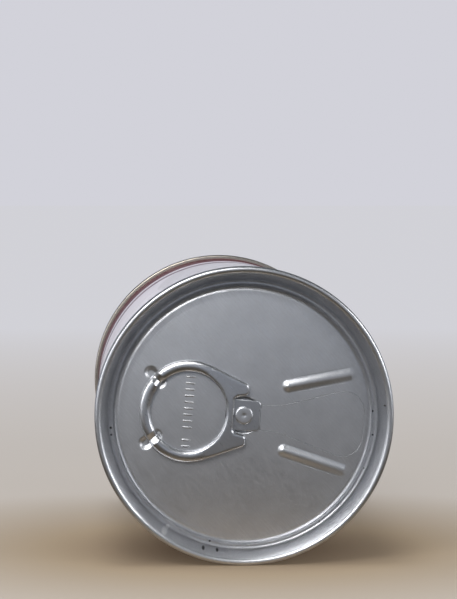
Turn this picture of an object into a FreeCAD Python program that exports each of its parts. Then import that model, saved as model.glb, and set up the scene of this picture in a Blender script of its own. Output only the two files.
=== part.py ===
"""A ring-pull drinks can on its side, opening end facing -Y: a seamed body, two ends and a pull tab.

The can's axis runs along Y. The origin is under the middle of the can, on the surface that it lies on.
Each piece is drawn standing up, about its own Z axis, and is laid down by its Placement.
"""

import FreeCAD
import Part

import os
import re

import Sketcher
from FreeCAD import Placement, Rotation, Vector

# Each size in millimetres or degrees, with what it measures.
SIZES = {
    "can_height": (122.2, "seam crown to seam crown"),
    "body_radius": (33.0, "outside of the body wall"),
    "body_wall": (0.3, "body wall where the seams grip it"),
    "metal_gap": (0.05, "clearance between pieces that are pressed together"),
    "seam_inset": (0.25, "body's outside to the inside of a double seam"),
    "seam_thick": (1.4, "double seam, inside to outside"),
    "seam_height": (3.0, "double seam, crown to lower edge"),
    "crown_flat": (0.08, "double seam, left level between its rounded edges"),
    "hem_round": (0.4, "rounding of the seam's lower edge"),
    "rest_depth": (0.1, "flat on each seam where the can lies"),
    "lap_width": (5.0, "side seam, around the body"),
    "lap_raise": (0.2, "side seam, above the body wall"),
    "lap_turn": (58.0, "side seam's place, below the horizontal"),
    "lap_inset": (1.0, "side seam's end, from the double seam"),
    "end_sheet": (0.35, "sheet of both ends"),
    "chuck_run": (1.7, "leaning wall of an end, inwards"),
    "groove_width": (1.35, "level bottom of the groove around an end"),
    "groove_round": (0.65, "rounding of the groove's bottom"),
    "panel_depth": (4.5, "crown to the panel of the opening end"),
    "panel_round": (0.9, "shoulder of the opening end's panel"),
    "groove_drop": (1.85, "panel of the opening end to the bottom of its groove"),
    "coin_radius": (4.3, "coined circle around the rivet"),
    "coin_depth": (0.15, "coined circle, below the panel"),
    "shank_radius": (1.4, "rivet shank"),
    "head_brim": (0.65, "rivet head, beyond the shank"),
    "head_thick": (0.6, "rivet head"),
    "head_round": (0.4, "rounding of the rivet head"),
    "dimple_radius": (0.8, "hollow in the rivet head"),
    "dimple_depth": (0.2, "hollow in the rivet head"),
    "tab_turn": (4.45, "the tab and all it works on, clockwise"),
    "score_start": (3.0, "rivet to the near end of the tear line"),
    "score_neck": (3.0, "half the width of the tear line's neck"),
    "score_neck_end": (8.0, "rivet to the end of the neck"),
    "score_mouth": (9.44, "half the width of the mouth, at its sharp corners"),
    "score_margin": (1.7, "mouth of the tear line to the panel's wall"),
    "neck_round": (1.5, "near corners of the tear line"),
    "mouth_round": (4.0, "far corners of the tear line"),
    "score_width": (0.3, "tear line"),
    "score_depth": (0.15, "tear line"),
    "bead_near": (8.5, "rivet to a stiffening bead, along the tear"),
    "bead_apart": (7.05, "tear's middle line to the near end of a bead"),
    "bead_margin": (4.45, "far end of a bead to the panel's wall, along the tear"),
    "bead_slant": (14.6, "bead, away from the tear's middle line"),
    "bead_width": (2.7, "stiffening bead"),
    "bead_raise": (0.5, "stiffening bead"),
    "bead_flat": (0.05, "side of a bead left below its rounded crest"),
    "ring_hole": (8.85, "inside of the ring"),
    "ring_bar": (2.85, "ring, from its inside to its outside"),
    "tab_bridge": (1.6, "metal between the ring's hole and the root of the tongue"),
    "tab_raise": (1.35, "curled edge of the tab"),
    "curl_flat": (0.15, "side of the curled edge left between its rounded edges"),
    "tab_taper": (22.6, "straight sides of the tab, from its middle line"),
    "prong_reach": (0.77, "rivet to the tips of the prongs"),
    "prong_round": (0.8, "corners of the prongs"),
    "notch_back": (2.3, "rivet to the root of the tongue"),
    "notch_root": (3.9, "half the width between the prongs, at the root"),
    "notch_mouth": (4.65, "half the width between the prongs, at the tips"),
    "tongue_reach": (3.75, "rivet to the tip of the tongue"),
    "tongue_slit": (0.2, "tongue to prong, at the root"),
    "tongue_tip": (3.4, "half the width of the tongue's tip"),
    "tongue_round": (0.9, "corners of the tongue"),
    "tab_sheet": (0.35, "sheet of the tongue"),
    "crimp_turn": (138.5, "crimps on the ring, from the tear's direction"),
    "crimp_width": (1.8, "crimp, along the ring"),
    "crimp_foot": (2.2, "underside of a crimp, across the ring"),
    "crimp_clear": (0.25, "underside of a crimp to the bottom of its dent"),
    "dent_out": (0.5, "middle of a dent, outwards from the ring's middle"),
    "dent_length": (6.5, "dent under a crimp, across the ring"),
    "dent_width": (3.4, "dent under a crimp, along the ring"),
    "dent_depth": (0.8, "dent under a crimp"),
    "end_share": (0.45, "rounding of the ends of beads, dents and crimps, as a share of their width"),
    "base_depth": (4.2, "crown to the middle panel of the base"),
    "base_step": (0.35, "each ring of the base, below the last"),
    "base_round": (0.6, "shoulder of the base's panel"),
    "base_drop": (1.45, "last ring of the base to the bottom of its groove"),
    "inner_ring": (15.0, "first expansion ring of the base"),
    "outer_ring": (22.5, "second expansion ring of the base"),
    "ring_slope": (1.0, "expansion ring, from its upper edge to its lower"),
}

# What follows from those sizes, in the same terms.
SEAM_INSIDE = "(body_radius - seam_inset)"
SEAM_OUTSIDE = f"({SEAM_INSIDE} + seam_thick)"
GROOVE_OUTSIDE = f"({SEAM_INSIDE} - chuck_run)"
PANEL_WALL = f"({GROOVE_OUTSIDE} - groove_width)"
TOP_GROOVE = "(panel_depth + groove_drop)"
BASE_FLOOR = "(base_depth + 2 * base_step)"
BASE_GROOVE = f"({BASE_FLOOR} + base_drop)"
RING_OUTSIDE = "(ring_hole + ring_bar)"
RING_BACK = "(notch_back + tab_bridge + ring_hole)"
CRIMP_DEPTH = "(dent_depth - crimp_clear)"

doc = FreeCAD.newDocument("ring_pull_can")
sheet = doc.addObject("Spreadsheet::Sheet", "Sizes")
for row, (alias, (value, note)) in enumerate(SIZES.items(), start=1):
    sheet.set(f"A{row}", note)
    sheet.set(f"B{row}", str(value))
    sheet.setAlias(f"B{row}", alias)
doc.recompute()


def cells(terms):
    """The terms as an expression, in which each size's name reads its cell."""
    return re.sub(r"[a-z_]+", lambda word: f"Sizes.{word[0]}" if word[0] in SIZES else word[0], terms)


def size(alias):
    return float(getattr(sheet, alias))


# Sketches: every corner and centre is placed by its two distances from the sketch's origin.


def new_sketch(body, name, role, lift="0", turn=None, turn_axis=Vector(0, 0, -1)):
    """A sketch on one of the body's origin planes, lifted along its normal and turned by a size."""
    plane = next(feature for feature in body.Origin.OriginFeatures if feature.Role == role)
    sketch = body.newObject("Sketcher::SketchObject", name)
    sketch.AttachmentSupport = [(plane, "")]
    sketch.MapMode = "FlatFace"
    if turn:
        sketch.AttachmentOffset = Placement(Vector(), Rotation(turn_axis, size(turn)))
        sketch.setExpression("AttachmentOffset.Rotation.Angle", cells(turn))
    sketch.setExpression("AttachmentOffset.Base.z", cells(lift))
    return sketch


def measure(sketch, kind, *where, terms):
    """A dimension that reads the sheet."""
    index = sketch.addConstraint(Sketcher.Constraint(kind, *where, 1.0))
    sketch.setExpression(f"Constraints[{index}]", cells(terms))


def place(sketch, edge, end, across, up):
    """Holds one end of an edge, or a centre, at its distances from the origin."""
    for terms, kind, axis in ((across, "DistanceX", -2), (up, "DistanceY", -1)):
        if terms == "0":
            sketch.addConstraint(Sketcher.Constraint("PointOnObject", edge, end, axis))
        else:
            measure(sketch, kind, -1, 1, edge, end, terms=terms)


def round_corner(sketch, before, after, rounding):
    """Rounds the corner between two straight edges, small at first and then as the sheet says."""
    lines = [sketch.Geometry[edge] for edge in (before, after)]
    middles = [(line.StartPoint + line.EndPoint) * 0.5 for line in lines]
    arc = sketch.GeometryCount
    sketch.fillet(before, after, *middles, 0.05, True, True)
    measure(sketch, "Radius", arc, terms=rounding)


def outline(sketch, corners):
    """A closed outline through corners given as (across, up, rounding), the last None where sharp."""
    first, count = sketch.GeometryCount, len(corners)
    spread = [Rotation(Vector(0, 0, 1), 360 * n / count).multVec(Vector(10, 0, 0)) for n in range(count)]
    for n in range(count):
        sketch.addGeometry(Part.LineSegment(spread[n], spread[(n + 1) % count]), False)
    for n, (across, up, _) in enumerate(corners):
        sketch.addConstraint(Sketcher.Constraint("Coincident", first + (n - 1) % count, 2, first + n, 1))
        place(sketch, first + n, 1, across, up)
    doc.recompute()
    for n, (_, _, rounding) in enumerate(corners):
        if rounding:
            round_corner(sketch, first + (n - 1) % count, first + n, rounding)
    doc.recompute()


def circle(sketch, across, up, radius):
    edge = sketch.addGeometry(Part.Circle(Vector(1, 1, 0), Vector(0, 0, 1), 1), False)
    place(sketch, edge, 3, across, up)
    measure(sketch, "Radius", edge, terms=radius)


def bar(sketch, middle, slant, length, width, rounded=True):
    """The outline of a bar about its middle, its length slanted from the sketch's first axis."""
    across, up = middle
    corners = []
    for ahead, aside in ((-1, -1), (1, -1), (1, 1), (-1, 1)):
        along = f"{ahead} * ({length}) / 2"
        beside = f"{aside} * ({width}) / 2"
        corners.append(
            (
                f"{across} + {along} * cos({slant}) - {beside} * sin({slant})",
                f"{up} + {along} * sin({slant}) + {beside} * cos({slant})",
                f"({width}) * end_share" if rounded else None,
            )
        )
    outline(sketch, corners)


# Features: each has to change the solid that it works on.


def finish_feature(feature, adds):
    before = feature.BaseFeature.Shape.Volume if feature.BaseFeature else 0.0
    doc.recompute()
    change = feature.Shape.Volume - before
    if (change > 0) != adds or change == 0:
        raise RuntimeError(f"{feature.Name} changed the volume by {change:.4f}")
    return feature


def revolve(body, name, corners, span="360", turn=None):
    """Turns an outline of radii and heights about the piece's axis, all the way or over a span."""
    sketch = new_sketch(body, f"{name}_profile", "XZ_Plane", turn=turn, turn_axis=Vector(0, -1, 0))
    outline(sketch, corners)
    feature = body.newObject("PartDesign::Revolution", name)
    feature.Profile = sketch
    feature.ReferenceAxis = (sketch, ["V_Axis"])
    feature.setExpression("Angle", cells(span))
    return finish_feature(feature, adds=True)


def pad(body, name, sketch, height, down=False):
    feature = body.newObject("PartDesign::Pad", name)
    feature.Profile = sketch
    feature.Reversed = down
    feature.setExpression("Length", cells(height))
    return finish_feature(feature, adds=True)


def pocket(body, name, sketch, depth=None):
    """Cuts down from the sketch, to a depth or right through."""
    feature = body.newObject("PartDesign::Pocket", name)
    feature.Profile = sketch
    if depth:
        feature.setExpression("Length", cells(depth))
    else:
        feature.Type = "ThroughAll"
    return finish_feature(feature, adds=False)


def round_level_edges(body, name, feature, height, radius):
    """Rounds off the edges of a feature that lie level at a height."""
    level = [
        f"Edge{n}"
        for n, edge in enumerate(feature.Shape.Edges, start=1)
        if max(abs(edge.BoundBox.ZMin - height), abs(edge.BoundBox.ZMax - height)) < 1e-4
    ]
    fillet = body.newObject("PartDesign::Fillet", name)
    fillet.Base = (feature, level)
    fillet.setExpression("Radius", cells(radius))
    return finish_feature(fillet, adds=False)


def new_body(name):
    body = doc.addObject("PartDesign::Body", name)
    body.Label = name
    return body


def lay_down(body, rise, turned_round=False, turn=0.0):
    """Lays an upright piece on its side, facing -Y, or +Y when turned round, so far out along its axis."""
    lying = Rotation(Vector(0, 0, 1), 180 if turned_round else 0) * Rotation(Vector(1, 0, 0), 90)
    body.Placement = Placement(Vector(), lying * Rotation(Vector(0, 0, -1), turn))
    body.setExpression("Placement.Base.y", cells(f"{1 if turned_round else -1} * ({rise})"))
    body.setExpression("Placement.Base.z", cells(f"{SEAM_OUTSIDE} - rest_depth"))


# The ends are drawn from the plane of their seam's crown downwards.


def chuck_lean(groove):
    """How far an end's leaning wall runs inwards for each millimetre down to its groove."""
    return f"(chuck_run / {groove})"


def leaning_sheet(groove):
    """The end's sheet, measured level across its leaning wall."""
    return f"(end_sheet * sqrt(1 + {chuck_lean(groove)} ^ 2))"


def hook_depth(groove):
    """Crown to where the leaning wall leaves room for the body wall behind it."""
    room = f"body_wall + metal_gap + {leaning_sheet(groove)} - seam_inset"
    return f"(({room}) / {chuck_lean(groove)})"


def end_shell(body, name, top, underside, groove):
    """A sheet-metal end: its panel's two faces as given, a groove around it, a leaning wall and the seam."""
    slot_outside, slot_inside = "body_radius + metal_gap", "body_radius - body_wall - metal_gap"
    hook = f"-{hook_depth(groove)}"
    under = f"-{groove} - end_sheet"
    crown = "(seam_thick - crown_flat) / 2"
    back = f"{GROOVE_OUTSIDE} + {leaning_sheet(groove)} - end_sheet * {chuck_lean(groove)}"
    wall_and_seam = [
        (PANEL_WALL, f"-{groove}", "groove_round"),
        (GROOVE_OUTSIDE, f"-{groove}", "groove_round"),
        (SEAM_INSIDE, "0", crown),
        (SEAM_OUTSIDE, "0", crown),
        (SEAM_OUTSIDE, "-seam_height", "hem_round"),
        (slot_outside, "-seam_height", None),
        (slot_outside, hook, None),
        (slot_inside, hook, None),
        (back, under, None),
        (f"{PANEL_WALL} - end_sheet", under, None),
    ]
    return revolve(body, name, top + wall_and_seam + underside)


def rest_flat(body, name):
    """The small flat on the seam that the can lies on."""
    sketch = new_sketch(body, f"{name}_sketch", "XY_Plane")
    side, low, high = "body_radius / 4", f"-{SEAM_OUTSIDE} - rest_depth", f"-{SEAM_OUTSIDE} + rest_depth"
    corners = ((f"-{side}", low), (side, low), (side, high), (f"-{side}", high))
    outline(sketch, [(across, up, None) for across, up in corners])
    return pocket(body, name, sketch)


def crimp_middle(side, out="0"):
    """The middle of a crimp on the ring, or of its dent further out, from the rivet."""
    reach = f"(ring_hole + ring_bar / 2 + {out})"
    return f"-{RING_BACK} + {reach} * cos(crimp_turn)", f"{side} * {reach} * sin(crimp_turn)"


def crimp_slant(side):
    return f"-{side} * (180 - crimp_turn)"


def tear_outline(sketch, grow):
    """The tear line's outline, grown by an amount: a neck at the rivet that opens into a mouth."""
    near, far = f"score_start - {grow}", f"{PANEL_WALL} - score_margin + {grow}"
    neck, mouth = f"score_neck + {grow}", f"score_mouth + {grow}"
    outline(
        sketch,
        [
            (near, f"-({neck})", f"neck_round + {grow}"),
            ("score_neck_end", f"-({neck})", None),
            (far, f"-({mouth})", f"mouth_round + {grow}"),
            (far, mouth, f"mouth_round + {grow}"),
            ("score_neck_end", neck, None),
            (near, neck, f"neck_round + {grow}"),
        ],
    )


def make_rivet(body):
    """The rivet, drawn up from the panel's own sheet: a shank and a dimpled head over the tab's tongue."""
    root = "-panel_depth - end_sheet / 2"
    seat = "-panel_depth + 2 * metal_gap + tab_sheet"
    head = "shank_radius + head_brim"
    return revolve(
        body,
        "rivet",
        [
            ("0", root, None),
            ("shank_radius", root, None),
            ("shank_radius", seat, None),
            (head, seat, None),
            (head, f"{seat} + head_thick", "head_round"),
            ("dimple_radius", f"{seat} + head_thick", None),
            ("0", f"{seat} + head_thick - dimple_depth", None),
        ],
    )


def make_top_end():
    """The opening end: dents, coined circle, tear line, stiffening beads and rivet on a seamed shell."""
    body = new_body("top_end")
    panel, under = "-panel_depth", "-panel_depth - end_sheet"
    end_shell(
        body,
        "top_shell",
        [("0", panel, None), (PANEL_WALL, panel, "panel_round")],
        [(f"{PANEL_WALL} - end_sheet", under, None), ("0", under, None)],
        TOP_GROOVE,
    )

    def on_panel(name, lift=panel):
        return new_sketch(body, f"{name}_sketch", "XY_Plane", lift, turn="tab_turn")

    for side, name in ((1, "upper"), (-1, "lower")):
        middle, slant = crimp_middle(side, "dent_out"), crimp_slant(side)
        bulge = on_panel(f"{name}_bulge", under)
        bar(bulge, middle, slant, "dent_length + 2 * end_sheet", "dent_width + 2 * end_sheet")
        pad(body, f"{name}_bulge", bulge, "dent_depth", down=True)
        dent = on_panel(f"{name}_dent")
        bar(dent, middle, slant, "dent_length", "dent_width")
        pocket(body, f"{name}_dent", dent, "dent_depth")

    bead_run = f"({PANEL_WALL} - bead_margin - bead_near)"
    for side, name in ((1, "upper"), (-1, "lower")):
        middle = (f"bead_near + {bead_run} / 2", f"{side} * (bead_apart + {bead_run} / 2 * tan(bead_slant))")
        sketch = on_panel(f"{name}_bead")
        bar(sketch, middle, f"{side} * bead_slant", f"{bead_run} / cos(bead_slant)", "bead_width")
        bead = pad(body, f"{name}_bead", sketch, "bead_raise")
        crest = size("bead_raise") - size("panel_depth")
        round_level_edges(body, f"{name}_bead_crest", bead, crest, "bead_raise - bead_flat")

    coin = on_panel("coined_circle")
    circle(coin, "0", "0", "coin_radius")
    pocket(body, "coined_circle", coin, "coin_depth")

    tear = on_panel("tear_line")
    tear_outline(tear, "score_width / 2")
    tear_outline(tear, "-score_width / 2")
    pocket(body, "tear_line", tear, "score_depth")

    make_rivet(body)
    rest_flat(body, "top_flat")
    lay_down(body, "can_height / 2")
    return body


def make_bottom_end():
    """The base: the same seam and groove, and a panel that steps down in two expansion rings."""
    body = new_body("bottom_end")
    levels = ["base_depth", "base_depth + base_step", BASE_FLOOR]

    def panel_face(drop, ring_round, shoulder):
        face = [("0", f"-({levels[0]}) - {drop}", None)]
        for ring, upper, lower in zip(("inner_ring", "outer_ring"), levels, levels[1:]):
            face.append((ring, f"-({upper}) - {drop}", ring_round))
            face.append((f"{ring} + ring_slope", f"-({lower}) - {drop}", ring_round))
        face.append((f"{PANEL_WALL} - {drop}", f"-{BASE_FLOOR} - {drop}", shoulder))
        return face

    top = panel_face("0", "base_step", "base_round")
    underside = panel_face("end_sheet", None, None)
    end_shell(body, "base_shell", top, underside[::-1], BASE_GROOVE)
    rest_flat(body, "base_flat")
    lay_down(body, "can_height / 2", turned_round=True)
    return body


def make_body():
    """The can's wall and what fills it, as one solid whose wall stands up into both seams."""
    body = new_body("body")
    inside = "body_radius - body_wall"
    low_wall, high_wall = (f"({hook_depth(groove)} + metal_gap)" for groove in (BASE_GROOVE, TOP_GROOVE))
    low_fill, high_fill = (f"({groove} + end_sheet + metal_gap)" for groove in (BASE_GROOVE, TOP_GROOVE))
    revolve(
        body,
        "wall_and_fill",
        [
            ("0", low_fill, None),
            (inside, low_fill, None),
            (inside, low_wall, None),
            ("body_radius", low_wall, None),
            ("body_radius", f"can_height - {high_wall}", None),
            (inside, f"can_height - {high_wall}", None),
            (inside, f"can_height - {high_fill}", None),
            ("0", f"can_height - {high_fill}", None),
        ],
    )
    lap, lap_low = "body_radius + lap_raise", "seam_height + lap_inset"
    lap_high = f"can_height - ({lap_low})"
    revolve(
        body,
        "side_seam",
        [(inside, lap_low, None), (lap, lap_low, None), (lap, lap_high, None), (inside, lap_high, None)],
        span="lap_width / body_radius * 180 / pi",
        turn="lap_turn",
    )
    lay_down(body, "-can_height / 2")
    return body


def plate_sketch(body):
    """The tab's outline: a ring whose straight sides run in, tangent to it, to the tips of the prongs."""
    sketch = new_sketch(body, "plate_sketch", "XY_Plane")
    centre = Vector(-size("notch_back") - size("tab_bridge") - size("ring_hole"), 0, 0)
    out = Vector(size("ring_hole") + size("ring_bar"), 0, 0)
    touch = centre + Rotation(Vector(0, 0, 1), 90 - size("tab_taper")).multVec(out)
    tip = Vector(size("prong_reach"), touch.y / 2, 0)
    low_touch, low_tip = Vector(touch.x, -touch.y, 0), Vector(tip.x, -tip.y, 0)
    edges = (
        Part.Arc(touch, centre - out, low_touch),
        Part.LineSegment(low_touch, low_tip),
        Part.LineSegment(low_tip, tip),
        Part.LineSegment(tip, touch),
    )
    ring, lower, front, upper = (sketch.addGeometry(edge, False) for edge in edges)
    for one, other in ((ring, lower), (upper, ring)):
        sketch.addConstraint(Sketcher.Constraint("Tangent", one, 2, other, 1))
    for one, other in ((lower, front), (front, upper)):
        sketch.addConstraint(Sketcher.Constraint("Coincident", one, 2, other, 1))
    sketch.addConstraint(Sketcher.Constraint("Symmetric", front, 1, front, 2, -1))
    place(sketch, ring, 3, f"-{RING_BACK}", "0")
    measure(sketch, "Radius", ring, terms=RING_OUTSIDE)
    measure(sketch, "DistanceX", -1, 1, front, 2, terms="prong_reach")
    measure(sketch, "Angle", lower, terms="tab_taper")
    doc.recompute()
    for before, after in ((lower, front), (front, upper)):
        round_corner(sketch, before, after, "prong_round")
    doc.recompute()
    return sketch


def make_pull_tab():
    """The ring, its curled edge, prongs, riveted tongue and crimps, drawn from its underside upwards."""
    body = new_body("pull_tab")
    pad(body, "plate", plate_sketch(body), "tab_raise")

    hole = new_sketch(body, "finger_hole_sketch", "XY_Plane", "tab_raise")
    circle(hole, f"-{RING_BACK}", "0", "ring_hole")
    pocket(body, "finger_hole", hole)

    notch = new_sketch(body, "notch_sketch", "XY_Plane", "tab_raise")
    past_tips = "prong_reach + prong_round"
    mouth = "notch_mouth + prong_round * (notch_mouth - notch_root) / (prong_reach + notch_back)"
    outline(
        notch,
        [
            ("-notch_back", "-notch_root", "prong_round"),
            (past_tips, f"-({mouth})", None),
            (past_tips, mouth, None),
            ("-notch_back", "notch_root", "prong_round"),
        ],
    )
    plate = pocket(body, "notch", notch)
    for name, height in (("upper_curl", size("tab_raise")), ("lower_curl", 0.0)):
        plate = round_level_edges(body, name, plate, height, "(tab_raise - curl_flat) / 2")

    tongue = new_sketch(body, "tongue_sketch", "XY_Plane")
    root, buried = "notch_root - tongue_slit", "-notch_back - tab_bridge / 2"
    outline(
        tongue,
        [
            (buried, f"-({root})", None),
            ("tongue_reach", "-tongue_tip", "tongue_round"),
            ("tongue_reach", "tongue_tip", "tongue_round"),
            (buried, root, None),
        ],
    )
    pad(body, "tongue", tongue, "tab_sheet")
    shank_hole = new_sketch(body, "shank_hole_sketch", "XY_Plane", "tab_sheet")
    circle(shank_hole, "0", "0", "shank_radius + metal_gap")
    pocket(body, "shank_hole", shank_hole)

    for side, name in ((1, "upper"), (-1, "lower")):
        middle, slant = crimp_middle(side), crimp_slant(side)
        foot = new_sketch(body, f"{name}_foot_sketch", "XY_Plane", "tab_raise / 2")
        bar(foot, middle, slant, "crimp_foot", "crimp_width")
        pad(body, f"{name}_foot", foot, f"tab_raise / 2 + {CRIMP_DEPTH}", down=True)
        crease = new_sketch(body, f"{name}_crease_sketch", "XY_Plane", "tab_raise")
        bar(crease, middle, slant, "2 * ring_bar", "crimp_width", rounded=False)
        pocket(body, f"{name}_crease", crease, CRIMP_DEPTH)
    lay_down(body, "can_height / 2 - panel_depth + metal_gap", turn=size("tab_turn"))
    return body


def check_and_write(pieces):
    """Writes each piece, once nothing in the document has failed."""
    doc.recompute()
    for item in doc.Objects:
        if {"Invalid", "Error"} & set(item.State):
            raise RuntimeError(f"{item.Name} has failed")
    for piece in pieces:
        shape = piece.Shape
        if shape.isNull() or not shape.isValid() or len(shape.Solids) != 1:
            raise RuntimeError(f"{piece.Label} is not one valid solid")
    os.makedirs("parts", exist_ok=True)
    for piece in pieces:
        piece.Shape.exportStep(f"parts/{piece.Label}.step")
        print(f"{piece.Label}: {piece.Shape.Volume:.1f} mm3")


check_and_write([make_body(), make_bottom_end(), make_top_end(), make_pull_tab()])
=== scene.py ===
"""Looks of a ring-pull drinks can that lies on its side.

Every piece is drawn in millimetres, standing up about Z with the crown of its seam at height 0. lay_down
then turns it onto its side, about the can's axis, and brings it to metres.
"""

import math

import bmesh
import bpy
from mathutils import Matrix, Vector
from mathutils.kdtree import KDTree


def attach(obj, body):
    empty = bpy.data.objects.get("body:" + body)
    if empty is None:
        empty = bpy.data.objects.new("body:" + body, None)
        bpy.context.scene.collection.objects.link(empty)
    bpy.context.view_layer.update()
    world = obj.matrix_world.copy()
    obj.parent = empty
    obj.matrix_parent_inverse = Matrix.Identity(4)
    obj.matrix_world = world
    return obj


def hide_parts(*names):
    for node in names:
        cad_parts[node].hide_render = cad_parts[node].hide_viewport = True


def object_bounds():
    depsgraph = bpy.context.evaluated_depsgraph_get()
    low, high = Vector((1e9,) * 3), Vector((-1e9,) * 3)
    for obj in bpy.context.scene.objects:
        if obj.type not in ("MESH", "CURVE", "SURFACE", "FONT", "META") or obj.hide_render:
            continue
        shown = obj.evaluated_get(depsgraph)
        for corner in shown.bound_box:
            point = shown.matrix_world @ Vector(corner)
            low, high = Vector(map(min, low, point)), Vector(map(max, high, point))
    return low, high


bl_info = {
    "name": "Ring-pull drinks can",
    "version": (1, 0, 0),
    "blender": (4, 5, 0),
    "location": "View3D > Sidebar > Drinks can",
    "description": "Builds an enamelled can with its riveted pull ring, on a pale floor",
    "category": "Add Mesh",
}

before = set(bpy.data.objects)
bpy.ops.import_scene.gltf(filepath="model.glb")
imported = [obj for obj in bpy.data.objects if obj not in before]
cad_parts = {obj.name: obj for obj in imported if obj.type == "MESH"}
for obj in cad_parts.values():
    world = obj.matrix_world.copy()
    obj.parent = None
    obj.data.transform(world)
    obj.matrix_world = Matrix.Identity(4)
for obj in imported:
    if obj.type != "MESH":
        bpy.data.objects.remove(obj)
CAD_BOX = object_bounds()

MM = 0.001
CROWN = -CAD_BOX[0].y / MM  # can's middle to the crown of either seam
SEAM_OUTSIDE = CAD_BOX[1].x / MM
AXIS_HEIGHT = CAD_BOX[1].z / MM - SEAM_OUTSIDE
TAB_TURN = math.radians(-4.45)
FACETS = 288  # round the can
PANEL = -4.5  # the opening end's panel, below the crown
MARKS = (  # specks of dirt about the axis: right, above, radius and tone
    (-30.4, -3.0, 0.35, 0.03),
    (-30.3, -4.6, 0.3, 0.04),
    (-9.3, -30.4, 0.45, 0.05),
    (-7.7, -29.2, 0.3, 0.05),
    (-6.1, -31.0, 0.4, 0.04),
    (17.6, -24.9, 0.25, 0.05),
    (29.9, 0.6, 0.3, 0.04),
    (29.9, -4.9, 0.3, 0.04),
    (32.2, 2.2, 0.25, 0.06),
    (27.9, -12.6, 0.2, 0.06),
    (-18.2, -26.3, 0.9, 1.0),
    (-17.4, -25.7, 0.6, 1.0),
)
BULGE = 0.98  # rise of the panel's middle above its edge
PANEL_ROUNDING = 1.7  # from the panel's level part to the groove's wall
GROOVE = -6.35  # bottom of the groove round either end, below the crown
BASE = -4.2  # the base's middle, below the crown
BASE_STEP = 0.35  # each ring of the base, below the last
END_SHEET = 0.2  # thickness drawn for an end's sheet
SEAM_HEIGHT = 3.0
RING_MIDDLE = (-12.75, 0)  # middle of the pull ring's hole
CRIMP_TURN = 138.5  # degrees from the tear's direction to either crimp
MIRRORED_HORIZON = (0.36, 0.40, 0.48)  # what the metal sees low down and far away
CHUCK_WALL = (29.5, 30.2)  # radii between which the smoother chuck wall begins


class CanSizes(bpy.types.PropertyGroup):
    """Sizes of the can that its user may change."""

    body_radius: bpy.props.FloatProperty(
        name="Body radius",
        description="Outside of the body wall",
        default=33.0 * MM,
        subtype="DISTANCE",
        unit="LENGTH",
    )
    panel_radius: bpy.props.FloatProperty(
        name="Panel radius",
        description="Middle of the opening end to the wall of the groove around it",
        default=29.7 * MM,
        subtype="DISTANCE",
        unit="LENGTH",
    )
    bead_raise: bpy.props.FloatProperty(
        name="Bead height",
        description="Height of the two stiffening beads",
        default=0.55 * MM,
        subtype="DISTANCE",
        unit="LENGTH",
    )
    dent_depth: bpy.props.FloatProperty(
        name="Dent depth",
        description="Depth of the two dents under the ring's crimps",
        default=0.5 * MM,
        subtype="DISTANCE",
        unit="LENGTH",
    )


class CanColours(bpy.types.PropertyGroup):
    """Colours of the can's finishes and of the floor."""

    enamel: bpy.props.FloatVectorProperty(
        name="Enamel",
        description="White enamel of the body",
        default=(0.60, 0.58, 0.63),
        subtype="COLOR",
        min=0,
        max=1,
    )
    # The band's default is its colour right beside the base seam, where painted shade darkens it.
    band: bpy.props.FloatVectorProperty(
        name="Band",
        description="Dark red band at the foot of the can",
        default=(0.085, 0.022, 0.02),
        subtype="COLOR",
        min=0,
        max=1,
    )
    aluminium: bpy.props.FloatVectorProperty(
        name="Aluminium",
        description="Rolled aluminium of the opening end and its ring",
        default=(0.72, 0.73, 0.75),
        subtype="COLOR",
        min=0,
        max=1,
    )
    lacquer: bpy.props.FloatVectorProperty(
        name="Lacquer",
        description="Pale gold lacquer of the base",
        default=(0.50, 0.44, 0.36),
        subtype="COLOR",
        min=0,
        max=1,
    )


# Shapes


def wire(bm, corners, closed=True):
    """Edges through corners given as (point, set-back, segments), each rounded from its set-back."""
    before = set(bm.edges)
    verts = [bm.verts.new(point) for point, _, _ in corners]
    for vert, following in zip(verts, verts[1:] + (verts[:1] if closed else [])):
        bm.edges.new((vert, following))
    for vert, (_, setback, segments) in zip(verts, corners):
        if setback:
            bmesh.ops.bevel(
                bm,
                geom=[vert],
                offset=setback,
                affect="VERTICES",
                segments=segments,
                profile=0.5,
                material=-1,
            )
    rounded = {vert for edge in set(bm.edges) - before for vert in edge.verts}
    bmesh.ops.remove_doubles(bm, verts=list(rounded), dist=0.002)
    return [edge for edge in bm.edges if edge not in before]


def turn(bm, corners, closed=False):
    """Turns a section, given as (radius, height, set-back, segments), about the Z axis."""
    edges = wire(bm, [((radius, 0, height), *rest) for radius, height, *rest in corners], closed)
    verts = {vert for edge in edges for vert in edge.verts}
    bmesh.ops.spin(
        bm,
        geom=edges + list(verts),
        cent=(0, 0, 0),
        axis=(0, 0, 1),
        angle=math.tau,
        steps=FACETS,
        use_merge=True,
    )
    bmesh.ops.remove_doubles(bm, verts=bm.verts[:], dist=0.0005)


def fill(bm, edges):
    """Faces over a level outline and round the outlines within it."""
    made = bmesh.ops.triangle_fill(
        bm, use_beauty=True, use_dissolve=False, edges=edges, normal=(0, 0, 1)
    )
    return [item for item in made["geom"] if isinstance(item, bmesh.types.BMFace)]


def swell(bm, faces, steps):
    """Draws a region in from its border, with a ring of faces for each (inwards, upwards)."""
    for inwards, upwards in steps:
        bmesh.ops.inset_region(
            bm,
            faces=faces,
            use_boundary=True,
            use_even_offset=True,
            thickness=inwards,
            depth=upwards,
        )


def ease(width, rise, count):
    """Steps of a wall that leaves one level gently and joins the next gently."""
    heights = [(1 - math.cos(math.pi * n / count)) / 2 for n in range(count + 1)]
    return [(width / count, rise * (high - low)) for low, high in zip(heights, heights[1:])]


def quarter(inwards, upwards, count):
    """Steps of a rounded edge, from upright to level."""
    angles = [math.pi / 2 * n / count for n in range(count + 1)]
    return [
        (inwards * (math.cos(low) - math.cos(high)), upwards * (math.sin(high) - math.sin(low)))
        for low, high in zip(angles, angles[1:])
    ]


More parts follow.
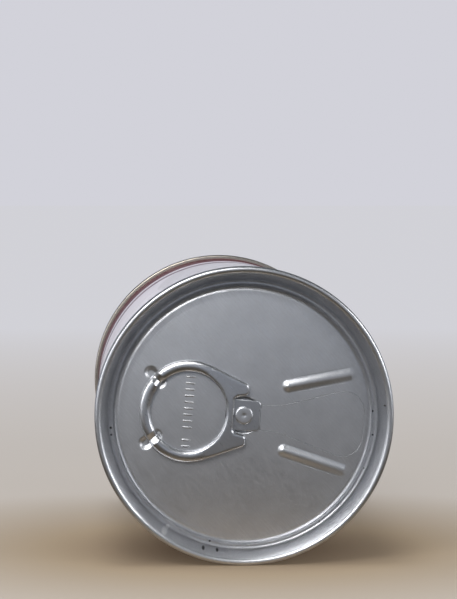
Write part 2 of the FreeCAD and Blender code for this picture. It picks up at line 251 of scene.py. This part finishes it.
def refine(bm, faces, longest):
    """Divides a level region until no edge within it is longer than the longest."""
    for _ in range(8):
        inner = set(faces)
        long = [
            edge
            for edge in {edge for face in inner for edge in face.edges}
            if edge.calc_length() > longest and all(face in inner for face in edge.link_faces)
        ]
        if not long:
            return
        others = set(bm.faces) - inner
        bmesh.ops.subdivide_edges(bm, edges=long, cuts=1)
        faces = [face for face in bm.faces if face not in others]
        faces = bmesh.ops.triangulate(bm, faces=faces)["faces"]


COLLAR = [(0.08, 0.0)]  # a level ring, so that what is flat beyond a wall is shaded flat


def patch(bm, corners, level):
    """A level face through corners given as (x, y, set-back, segments)."""
    edges = wire(bm, [((x, y, level), *rest) for x, y, *rest in corners])
    faces = bmesh.ops.contextual_create(bm, geom=edges)["faces"]
    if faces[0].normal.z < 0:
        bmesh.ops.reverse_faces(bm, faces=faces)
    return faces


def bar(bm, middle, slant, length, width, level, segments=12):
    """A round-ended bar's face about its middle, its length slanted from the X axis."""
    turned = Matrix.Rotation(slant, 2)
    corners = []
    for ahead, aside in ((-1, -1), (1, -1), (1, 1), (-1, 1)):
        corner = turned @ Vector((ahead * length / 2, aside * width / 2)) + Vector(middle)
        corners.append((*corner, width * 0.4999, segments))
    return patch(bm, corners, level)


def disc(bm, middle, radius, level, segments=96):
    """A round face about its middle."""
    made = bmesh.ops.create_circle(
        bm, cap_ends=True, radius=radius, segments=segments, matrix=Matrix.Translation((*middle, level))
    )
    return list(made["verts"][0].link_faces)


def bulge(bm):
    """Raises a drawing by the panel's slight bulge, which fades out at the panel's edge."""
    edge = bpy.context.scene.can_sizes.panel_radius / MM - PANEL_ROUNDING
    for vert in bm.verts:
        away = vert.co.to_2d().length / edge
        vert.co.z += BULGE * max(0.0, 1 - away * away)


def turn_with_tab(bm):
    """Turns a drawing about the can's axis, as the tear and the tab are turned."""
    turned = Matrix.Rotation(TAB_TURN, 3, "Z")
    bmesh.ops.rotate(bm, verts=bm.verts[:], cent=(0, 0, 0), matrix=turned)


def polar(radius, degrees, middle=(0, 0)):
    angle = math.radians(degrees)
    return middle[0] + radius * math.cos(angle), middle[1] + radius * math.sin(angle)


def lay_down(bm, name, turned_round=False, smooth=40):
    """Lays the piece on its side, flattens it where it lies, and makes its object."""
    bmesh.ops.remove_doubles(bm, verts=bm.verts[:], dist=0.0005)
    bmesh.ops.recalc_face_normals(bm, faces=bm.faces[:])
    lying = Matrix.Rotation(math.radians(90), 4, "X")
    if turned_round:
        lying = Matrix.Rotation(math.pi, 4, "Z") @ lying
    end = CROWN if turned_round else -CROWN
    place = Matrix.Scale(MM, 4) @ Matrix.Translation((0, end, AXIS_HEIGHT)) @ lying
    bmesh.ops.transform(bm, matrix=place, verts=bm.verts[:])
    for vert in bm.verts:
        vert.co.z = max(vert.co.z, 0.0)
    mesh = bpy.data.meshes.new(name)
    bm.to_mesh(mesh)
    bm.free()
    for polygon in mesh.polygons:
        polygon.use_smooth = True
    mesh.set_sharp_from_angle(angle=math.radians(smooth))
    piece = bpy.data.objects.new(name, mesh)
    bpy.context.scene.collection.objects.link(piece)
    return piece


def dress(piece, material, node):
    """Gives the piece its finish and its place in the frame."""
    piece.data.materials.append(material)
    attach(piece, "root")
    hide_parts(node)


# Finishes


def new_finish(name):
    material = bpy.data.materials.new(name)
    material.use_nodes = True
    return material, material.node_tree, material.node_tree.nodes["Principled BSDF"]


def add(tree, kind, sockets=None, **settings):
    """A shader node with its settings, its sockets linked to other nodes' or given values."""
    node = tree.nodes.new(f"ShaderNode{kind}")
    for key, value in settings.items():
        setattr(node, key, value)
    for key, value in (sockets or {}).items():
        if isinstance(value, bpy.types.NodeSocket):
            tree.links.new(value, node.inputs[key])
        else:
            node.inputs[key].default_value = value
    return node


def link(tree, output, shader, socket):
    tree.links.new(output, shader.inputs[socket])


def coordinates(tree, turn_by=(0, 0, 0), scale=(1, 1, 1)):
    """Object coordinates in millimetres, turned and stretched."""
    place = add(tree, "TexCoord").outputs["Object"]
    turned = add(tree, "Mapping", {"Vector": place, "Rotation": turn_by}).outputs["Vector"]
    stretch = [value / MM for value in scale]
    return add(tree, "Mapping", {"Vector": turned, "Scale": stretch}).outputs["Vector"]


def noise(tree, vector, scale, detail=2.0, roughness=0.5):
    sockets = {"Vector": vector, "Scale": scale, "Detail": detail, "Roughness": roughness}
    return add(tree, "TexNoise", sockets).outputs["Fac"]


def remap(tree, value, low, high, to_low=0.0, to_high=1.0):
    sockets = {"Value": value, 1: low, 2: high, 3: to_low, 4: to_high}
    return add(tree, "MapRange", sockets).outputs["Result"]


def blend(tree, fac, low, high):
    """A colour between two, each a colour or a socket."""
    mix = add(tree, "Mix", data_type="RGBA")
    for value, socket in ((fac, 0), (low, 6), (high, 7)):
        if isinstance(value, bpy.types.NodeSocket):
            tree.links.new(value, mix.inputs[socket])
        else:
            mix.inputs[socket].default_value = (*value, 1.0) if socket else value
    return mix.outputs[2]


def calc(tree, operation, first, second=0.0):
    return add(tree, "Math", {0: first, 1: second}, operation=operation).outputs[0]


def aluminium(name, colour, roughness, grain, waviness, marks=()):
    """Rolled sheet with fine parallel grain, specks, and a little more polish on the chuck wall."""
    material, tree, shader = new_finish(name)
    shader.inputs["Metallic"].default_value = 1.0
    along = coordinates(tree, turn_by=(0, math.radians(42), 0), scale=(1, 1, 0.12))
    lines = noise(tree, along, 3.2, 3.0, 0.7)
    plain = coordinates(tree)
    x, _, z = add(tree, "SeparateXYZ", {0: plain}).outputs
    up = calc(tree, "SUBTRACT", z, AXIS_HEIGHT)
    spread = calc(tree, "ADD", calc(tree, "MULTIPLY", x, x), calc(tree, "MULTIPLY", up, up))

    clouds = noise(tree, plain, 0.25, 4.0, 0.6)
    dark = tuple(value * 0.9 for value in colour)
    shade = blend(tree, remap(tree, clouds, 0.35, 0.7), dark, tuple(colour))
    shade = blend(tree, remap(tree, lines, 0.35, 0.65, 0.0, 0.4), shade, (0.5, 0.5, 0.52))
    flat = coordinates(tree, scale=(1, 0, 1))
    for right, above, radius, tone in marks:
        centre = (right, 0, AXIS_HEIGHT + above)
        near = add(tree, "VectorMath", {0: flat, 1: centre}, operation="DISTANCE").outputs["Value"]
        shade = blend(tree, remap(tree, near, radius * 0.5, radius, 1.0, 0.0), shade, (tone, tone, tone))
    link(tree, shade, shader, "Base Color")

    rough = remap(tree, lines, 0.3, 0.7, roughness - 0.05, roughness + 0.05)
    polished = remap(tree, spread, CHUCK_WALL[0] ** 2, CHUCK_WALL[1] ** 2, 0.0, 0.05)
    link(tree, calc(tree, "SUBTRACT", rough, polished), shader, "Roughness")

    normal = None
    waves = noise(tree, plain, waviness[0], 2.0, 0.5)
    for height, distance in ((lines, grain), (waves, waviness[1])):
        sockets = {"Height": height, "Strength": 1.0, "Distance": distance * MM}
        if normal:
            sockets["Normal"] = normal
        normal = add(tree, "Bump", sockets).outputs[0]
    link(tree, normal, shader, "Normal")
    return material


def enamel(name, colours):
    """White enamel with a dark red band, darkened beside the base seam as painted shade, a thin line and
    a darker grey oval along the top, under a clear varnish.
    """
    material, tree, shader = new_finish(name)
    plain = coordinates(tree)
    x, y, z = add(tree, "SeparateXYZ", {0: plain}).outputs
    half_angle, half_length, oval_middle = 34.3, 44.4, -14.0

    def between(value, low, high, edge=0.25):
        rise = remap(tree, value, low - edge, low + edge)
        return calc(tree, "MULTIPLY", rise, remap(tree, value, high - edge, high + edge, 1.0, 0.0))

    up = calc(tree, "SUBTRACT", z, AXIS_HEIGHT)
    around = calc(tree, "MULTIPLY", calc(tree, "ARCTAN2", x, up), math.degrees(1))
    along = calc(tree, "SUBTRACT", y, oval_middle)
    across_part = calc(tree, "POWER", calc(tree, "DIVIDE", around, half_angle), 2.0)
    along_part = calc(tree, "POWER", calc(tree, "DIVIDE", along, half_length), 2.0)
    oval = calc(tree, "ADD", across_part, along_part)
    clouds = noise(tree, plain, 0.12, 4.0, 0.6)
    white = tuple(colours.enamel)
    dimmer = tuple(value * 0.96 for value in white)
    ground = blend(tree, remap(tree, clouds, 0.35, 0.65), dimmer, white)
    # A darker grey oval along the top of the wall.
    ground = blend(tree, remap(tree, oval, 0.98, 1.02, 1.0, 0.0), ground, (0.50, 0.49, 0.53))
    ground = blend(tree, between(y, 22.0, 30.0, 0.6), ground, (0.19, 0.145, 0.175))
    # Towards the base seam the red darkens: painted shade beside the seam.
    red = blend(tree, remap(tree, y, 40.0, 57.0), (0.135, 0.05, 0.066), tuple(colours.band))
    red = blend(tree, remap(tree, clouds, 0.4, 0.6, 0.0, 0.2), red, (0.2, 0.08, 0.09))
    ground = blend(tree, between(y, 38.0, 80.0), ground, red)
    link(tree, ground, shader, "Base Color")
    peel = noise(tree, plain, 1.6, 2.0, 0.5)
    link(tree, remap(tree, peel, 0.3, 0.7, 0.40, 0.5), shader, "Roughness")
    bump = add(tree, "Bump", {"Height": peel, "Strength": 1.0, "Distance": 0.01 * MM})
    link(tree, bump.outputs[0], shader, "Normal")
    shader.inputs["Specular IOR Level"].default_value = 0.25
    return material


# Pieces


def seamed_end(bm, top, underside):
    """An end's sheet, from the given top out to the double seam and back to the given underside."""
    sizes = bpy.context.scene.can_sizes
    wall = sizes.panel_radius / MM
    body = sizes.body_radius / MM
    turn(
        bm,
        top
        + [
            (wall, GROOVE, 0.66, 8),
            (wall + 1.35, GROOVE, 0.6, 8),
            (SEAM_OUTSIDE - 1.4, 0, 0.66, 8),
            (SEAM_OUTSIDE, 0, 0.69, 8),
            (SEAM_OUTSIDE, -SEAM_HEIGHT, 0.4, 5),
            (body + 0.05, -SEAM_HEIGHT, 0, 0),
            (body + 0.05, -1.9, 0, 0),
            (body - 0.35, -1.9, 0, 0),
            (wall + 1.7, GROOVE - END_SHEET, 0, 0),
            (wall - 0.3, GROOVE - END_SHEET, 0, 0),
        ]
        + underside,
    )


class CAN_OT_wall(bpy.types.Operator):
    """Adds the enamelled wall of the can"""

    bl_idname = "can.wall"
    bl_label = "Can wall"

    def execute(self, context):
        radius = context.scene.can_sizes.body_radius / MM
        length = 2 * CROWN
        bm = bmesh.new()
        turn(
            bm,
            [
                (radius, -2.0, 0, 0),
                (radius, 8.0 - length, 1.5, 4),
                (radius + 0.3, 3.4 - length, 0.6, 3),
                (radius + 0.04, 2.6 - length, 0, 0),
                (radius + 0.04, 2.0 - length, 0, 0),
                (radius - 0.3, 2.0 - length, 0, 0),
                (radius - 0.3, -2.0, 0, 0),
            ],
            closed=True,
        )
        piece = lay_down(bm, "can_wall")
        dress(piece, enamel("white_enamel", context.scene.can_colours), "body")
        return {"FINISHED"}


class CAN_OT_opening_end(bpy.types.Operator):
    """Adds the opening end with its beads, dents, tear line and rivet"""

    bl_idname = "can.opening_end"
    bl_label = "Opening end"

    def execute(self, context):
        sizes = context.scene.can_sizes
        wall = sizes.panel_radius / MM
        under = PANEL - 1.2
        bm = bmesh.new()
        seamed_end(
            bm,
            [(wall - PANEL_ROUNDING, PANEL, 0, 0), (wall, PANEL, 1.3, 10)],
            [(wall - 0.3, under, 0, 0), (0, under, 0, 0)],
        )

        swell(bm, disc(bm, (0, 0), 4.4, PANEL), COLLAR + ease(0.5, -0.3, 6) + COLLAR)

        tear = [
            (3.7, -3.4, 0, 0),
            (8.0, -3.5, 1.5, 8),
            (27.95, -9.85, 7.2, 24),
            (27.95, 9.05, 7.2, 24),
            (8.0, 2.8, 1.5, 8),
            (3.7, 2.7, 0, 0),
        ]
        swell(bm, patch(bm, tear, PANEL), COLLAR + [(0.1, -0.12), (0.1, 0.12)] + COLLAR)

        for side in (1, -1):
            slant = math.radians(14.6 * side)
            near, run, fading = 8.1, 17.4, 6.0
            middle = (near + run / 2, side * (7.0 + run / 2 * math.tan(abs(slant))))
            before = set(bm.verts)
            faces = bar(bm, middle, slant, run / math.cos(slant), 3.4, PANEL)
            swell(bm, faces, COLLAR + ease(1.55, sizes.bead_raise / MM, 14))
            for vert in set(bm.verts) - before:
                share = min(max((near + run - vert.co.x) / fading, 0.0), 1.0)
                vert.co.z = PANEL + (vert.co.z - PANEL) * share * share * (3 - 2 * share)

            degrees = CRIMP_TURN * side
            middle = polar(10.775, degrees, RING_MIDDLE)
            faces = bar(bm, middle, math.radians(degrees), 6.5, 3.6, PANEL)
            swell(bm, faces, COLLAR + ease(1.3, -sizes.dent_depth / MM, 10) + COLLAR)

        first, spacing, gap = -8.1, 1.45, 2  # a row of raised bars, one of them missing
        for n in range(12):
            if n != gap:
                middle = (RING_MIDDLE[0], first + n * spacing)
                faces = bar(bm, middle, 0.0, 2.2, 0.5, PANEL, segments=4)
                swell(bm, faces, [(0.02, 0.0)] + ease(0.18, 0.2, 4))

        faces = fill(bm, [edge for edge in bm.edges if len(edge.link_faces) == 1])
        refine(bm, faces, 1.2)
        bulge(bm)
        turn_with_tab(bm)
        colour = context.scene.can_colours.aluminium
        metal = aluminium("rolled_aluminium", colour, 0.41, 0.012, (0.12, 0.004), MARKS)
        dress(lay_down(bm, "opening_end"), metal, "top_end")

        bm = bmesh.new()
        seat = PANEL + 0.45
        turn(
            bm,
            [
                (0, PANEL - 0.2, 0, 0),
                (1.4, PANEL - 0.2, 0, 0),
                (1.4, seat, 0, 0),
                (2.05, seat, 0.12, 3),
                (2.05, seat + 0.6, 0.4, 6),
                (0.5, seat + 0.58, 0.2, 4),
                (0.25, seat + 0.5, 0.1, 3),
                (0, seat + 0.5, 0, 0),
            ],
        )
        turn_with_tab(bm)
        bulge(bm)
        rivet = aluminium("rivet_aluminium", colour, 0.38, 0.002, (0.5, 0.002))
        dress(lay_down(bm, "rivet"), rivet, "top_end")
        return {"FINISHED"}


class CAN_OT_pull_ring(bpy.types.Operator):
    """Adds the pull ring, with its curled edge, crimps, prongs and riveted tongue"""

    bl_idname = "can.pull_ring"
    bl_label = "Pull ring"

    def execute(self, context):
        bm = bmesh.new()
        middle = Vector((*RING_MIDDLE, 0))
        under, top, level = PANEL + 0.05, PANEL + 1.4, PANEL + 0.6
        edges = self.outline(bm, middle, level)
        place = Matrix.Translation((middle.x, 0, level))
        hole = bmesh.ops.create_circle(bm, radius=9.1, segments=288, matrix=place)["verts"]
        for vert in hole:
            vert.co.x = middle.x + (vert.co.x - middle.x) * 0.955
        edges += list({edge for vert in hole for edge in vert.link_edges})
        border = {vert for edge in edges for vert in edge.verts}
        tree = KDTree(len(border))
        for n, vert in enumerate(border):
            tree.insert(vert.co, n)
        tree.balance()
        faces = fill(bm, edges)
        swell(bm, faces, [(0.02 + 0.022 * n, 0.0) for n in range(6)])
        refine(bm, faces, 0.45)
        upper = [(vert, tree.find(vert.co)[2]) for vert in bm.verts]
        lower = bmesh.ops.duplicate(bm, geom=bm.faces[:])["vert_map"]
        for vert, deep in upper:
            round_over = self.rounding(vert.co, middle)
            swollen = math.sqrt(1 - (1 - min(deep / round_over, 1.0)) ** 2)
            lower[vert].co.z = level - (level - under) * swollen
            vert.co.z = level + (top - level) * swollen
        self.crimp(bm, middle)

        root, tip = 3.7, 3.4
        tongue = patch(
            bm,
            [(-3.1, -root, 0, 0), (3.75, -tip, 0.9, 6), (3.75, tip, 0.9, 6), (-3.1, root, 0, 0)],
            PANEL + 0.2,
        )
        lower = bmesh.ops.duplicate(bm, geom=tongue)["geom"]
        lower = [item for item in lower if isinstance(item, bmesh.types.BMFace)]
        bmesh.ops.reverse_faces(bm, faces=lower)
        swell(bm, tongue, quarter(0.16, 0.2, 4) + COLLAR)
        swell(bm, lower, quarter(0.15, 0.15, 3) + COLLAR)
        bulge(bm)

        turn_with_tab(bm)
        colour = context.scene.can_colours.aluminium
        metal = aluminium("ring_aluminium", colour, 0.31, 0.001, (0.3, 0.004))
        dress(lay_down(bm, "pull_ring"), metal, "pull_tab")
        return {"FINISHED"}

    def rounding(self, where, middle):
        """The ring is rounded right over, its prongs only along their edges."""
        angle = abs(math.degrees(math.atan2(where.y - middle.y, where.x - middle.x)))
        share = min(max((angle - 50) / 45, 0.0), 1.0)
        return 0.5 + 0.82 * share * share * (3 - 2 * share)

    def outline(self, bm, middle, level):
        """The ring's outer edge, its prongs and the notch between them."""
        before = set(bm.edges)
        radius, taper = 11.7, 22.6
        first = bm.verts.new((*polar(radius, 90 - taper, middle), level))
        sweep = math.radians(180 + 2 * taper)
        bmesh.ops.spin(
            bm,
            geom=[first],
            cent=(middle.x, 0, level),
            axis=(0, 0, 1),
            angle=sweep,
            steps=180,
            use_merge=False,
        )
        bm.verts.ensure_lookup_table()
        ends = [vert for vert in bm.verts if vert is not first and len(vert.link_edges) == 1]
        last = min(ends, key=lambda vert: vert.co.y)
        for vert in bm.verts:
            if vert.co.x < middle.x:
                vert.co.x = middle.x + (vert.co.x - middle.x) * 0.965
        corners = [
            (0.77, -7.05, 0.8, 8),
            (0.77, -4.65, 0.8, 8),
            (-2.3, -3.9, 0.6, 6),
            (-2.3, 3.9, 0.6, 6),
            (0.77, 4.65, 0.8, 8),
            (0.77, 7.05, 0.8, 8),
        ]
        verts = [last] + [bm.verts.new((x, y, level)) for x, y, _, _ in corners] + [first]
        for vert, following in zip(verts, verts[1:]):
            bm.edges.new((vert, following))
        for vert, (_, _, setback, segments) in zip(verts[1:-1], corners):
            bmesh.ops.bevel(
                bm,
                geom=[vert],
                offset=setback,
                affect="VERTICES",
                segments=segments,
                profile=0.5,
                material=-1,
            )
        long = {edge: int(edge.calc_length() / 0.25) for edge in bm.edges if edge.calc_length() > 0.4}
        for edge, cuts in long.items():
            bmesh.ops.subdivide_edges(bm, edges=[edge], cuts=cuts)
        return [edge for edge in bm.edges if edge not in before]

    def crimp(self, bm, middle):
        """Presses two creases across the ring, down towards their dents."""
        for side in (1, -1):
            across = Vector((*polar(1.0, CRIMP_TURN * side + 90), 0))
            out = Vector((*polar(1.0, CRIMP_TURN * side), 0))
            for vert in bm.verts:
                where = vert.co - middle
                if where.to_2d().dot(out.to_2d()) > 5:
                    aside = abs(where.to_2d().dot(across.to_2d()))
                    vert.co.z -= 0.75 * max(0.0, 1 - aside / 1.3)


class CAN_OT_base_end(bpy.types.Operator):
    """Adds the base, with its two expansion rings"""

    bl_idname = "can.base_end"
    bl_label = "Base"

    def execute(self, context):
        wall = context.scene.can_sizes.panel_radius / MM
        bm = bmesh.new()
        second, third = BASE - BASE_STEP, BASE - 2 * BASE_STEP
        top = [
            (0, BASE, 0, 0),
            (15.0, BASE, 0.4, 4),
            (16.0, second, 0.4, 4),
            (22.5, second, 0.4, 4),
            (23.5, third, 0.4, 4),
            (wall, third, 0.6, 6),
        ]
        under = third - END_SHEET
        seamed_end(bm, top, [(wall - 0.3, under, 0, 0), (0, under, 0, 0)])
        metal = aluminium("lacquered_steel", context.scene.can_colours.lacquer, 0.38, 0.003, (0.3, 0.02))
        dress(lay_down(bm, "base_end", turned_round=True), metal, "bottom_end")
        return {"FINISHED"}


class CAN_OT_stage(bpy.types.Operator):
    """Adds the pale floor, the soft light and the camera"""

    bl_idname = "can.stage"
    bl_label = "Floor, light and camera"

    def execute(self, context):
        bm = bmesh.new()
        bmesh.ops.create_grid(bm, x_segments=2, y_segments=2, size=60)
        mesh = bpy.data.meshes.new("floor")
        bm.to_mesh(mesh)
        bm.free()
        floor = bpy.data.objects.new("floor", mesh)
        context.scene.collection.objects.link(floor)
        floor.location.z = -0.00005
        mesh.materials.append(self.paper())
        self.sky(context.scene)
        for name, place, turned, size, watts in (
            ("key_light", (-0.22, -0.5, 0.4), (50, -31), 0.3, 1.7),
            ("upper_light", (-0.15, -0.42, 0.5), (37, -18), 0.3, 0.9),
            ("left_light", (-0.5, -0.35, 0.2), (60, -65), 0.3, 0.7),
            ("right_light", (0.5, -0.35, 0.25), (55, 62), 0.3, 1.3),
            ("overhead_light", (-0.15, -0.1, 1.1), (0, -8), 0.4, 5.0),
        ):
            self.lamp(context.scene, name, place, turned, size, watts)
        context.scene.objects["overhead_light"].visible_glossy = False
        camera = bpy.data.objects.new("camera", bpy.data.cameras.new("camera"))
        camera.data.lens = 150
        camera.data.sensor_width = 36
        camera.location = (-0.0335, -0.626, 0.0827)
        camera.rotation_euler = (math.radians(90 - 2.23), 0, math.radians(-3.02))
        context.scene.collection.objects.link(camera)
        context.scene.camera = camera
        context.scene.view_settings.view_transform = "Standard"
        return {"FINISHED"}

    def paper(self):
        """Matt paper, warm near the can and paler away from it, with a painted shadow under the can; it
        glows its own colour to the camera, and in the metal it shows a dim painted reflection.
        """
        material, tree, shader = new_finish("floor_paper")
        place = add(tree, "TexCoord").outputs["Object"]
        # The ramp, and the painted shadow at its dark end, are centred here.
        under = (0.0, -0.03, 0.0)  # below the can, a little towards the opening end
        away = add(tree, "VectorMath", {0: place, 1: under}, operation="DISTANCE").outputs["Value"]
        ramp = add(tree, "ValToRGB", {"Fac": remap(tree, away, 0.0, 1.5)})
        # The first stop, dark brown right under the can, is a painted shadow.
        stops = [
            (0.0, (0.09, 0.05, 0.03)),
            (0.03, (0.33, 0.26, 0.18)),
            (0.08, (0.51, 0.47, 0.43)),
            (0.7, (0.64, 0.64, 0.68)),
        ]
        elements = ramp.color_ramp.elements
        while len(elements) < len(stops):
            elements.new(0.5)
        for element, (position, colour) in zip(elements, stops):
            element.position = position
            element.color = (*colour, 1)
        link(tree, ramp.outputs["Color"], shader, "Base Color")
        shader.inputs["Roughness"].default_value = 0.8
        shader.inputs["Specular IOR Level"].default_value = 0.1
        ray = add(tree, "LightPath").outputs
        seen = ray["Is Camera Ray"]
        # To the camera the floor also glows its ramp colour, painted shadow included: about a third of
        # it near the can, all of it from 0.3 m away.
        glow = add(tree, "Emission", {"Color": ramp.outputs["Color"], "Strength": 1.0})
        far = calc(tree, "MULTIPLY", seen, remap(tree, away, 0.03, 0.3, 0.35, 1.0))
        mix = add(tree, "MixShader", {0: far, 1: shader.outputs[0], 2: glow.outputs[0]})
        # In the metal the floor in front of the can shows a painted reflection: a dim glow, dark brown
        # near the can and the horizon colour far off.
        faint = blend(tree, remap(tree, away, 0.35, 1.2), (0.06, 0.047, 0.03), MIRRORED_HORIZON)
        dim = add(tree, "Emission", {"Color": faint, "Strength": 1.0})
        before = remap(tree, add(tree, "SeparateXYZ", {0: place}).outputs[1], 0.0, 0.1, 1.0, 0.0)
        beyond = calc(tree, "MULTIPLY", ray["Is Glossy Ray"], remap(tree, away, 0.03, 0.07))
        beyond = calc(tree, "MULTIPLY", beyond, before)
        mix = add(tree, "MixShader", {0: beyond, 1: mix.outputs[0], 2: dim.outputs[0]})
        tree.links.new(mix.outputs[0], tree.nodes["Material Output"].inputs["Surface"])
        return material

    def sky(self, scene):
        """An even room for the enamel, pale to the camera, and in the metal brighter low down."""
        world = bpy.data.worlds.new("room")
        world.use_nodes = True
        scene.world = world
        tree = world.node_tree
        direction = add(tree, "TexCoord").outputs["Generated"]
        height = add(tree, "SeparateXYZ", {0: direction}).outputs[2]
        ray = add(tree, "LightPath").outputs
        mirrored = blend(tree, remap(tree, height, 0.0, 0.45), MIRRORED_HORIZON, (0.06, 0.07, 0.08))
        room = blend(tree, ray["Is Glossy Ray"], (0.42, 0.42, 0.44), mirrored)
        colour = blend(tree, ray["Is Camera Ray"], room, (0.644, 0.644, 0.70))
        link(tree, colour, tree.nodes["Background"], "Color")

    def lamp(self, scene, name, place, turned, size, watts):
        light = bpy.data.lights.new(name, "AREA")
        light.shape = "DISK"
        light.size = size
        light.energy = watts
        lamp = bpy.data.objects.new(name, light)
        lamp.location = place
        lamp.rotation_euler = (*(math.radians(angle) for angle in turned), 0)
        scene.collection.objects.link(lamp)


class CAN_PT_panel(bpy.types.Panel):
    """Lists the can's sizes, colours and pieces"""

    bl_idname = "CAN_PT_panel"
    bl_label = "Ring-pull drinks can"
    bl_space_type = "VIEW_3D"
    bl_region_type = "UI"
    bl_category = "Drinks can"

    def draw(self, context):
        for group in (context.scene.can_sizes, context.scene.can_colours):
            for name in group.__annotations__:
                self.layout.prop(group, name)
        for operator in OPERATORS:
            self.layout.operator(operator.bl_idname)


OPERATORS = (CAN_OT_wall, CAN_OT_opening_end, CAN_OT_pull_ring, CAN_OT_base_end, CAN_OT_stage)
GROUPS = (CanSizes, CanColours)


def register():
    for group in GROUPS + OPERATORS + (CAN_PT_panel,):
        bpy.utils.register_class(group)
    bpy.types.Scene.can_sizes = bpy.props.PointerProperty(type=CanSizes)
    bpy.types.Scene.can_colours = bpy.props.PointerProperty(type=CanColours)


def unregister():
    del bpy.types.Scene.can_colours
    del bpy.types.Scene.can_sizes
    for group in reversed(GROUPS + OPERATORS + (CAN_PT_panel,)):
        bpy.utils.unregister_class(group)


def main():
    register()
    for piece in ("wall", "opening_end", "pull_ring", "base_end", "stage"):
        getattr(bpy.ops.can, piece)()


if __name__ == "__main__":
    main()
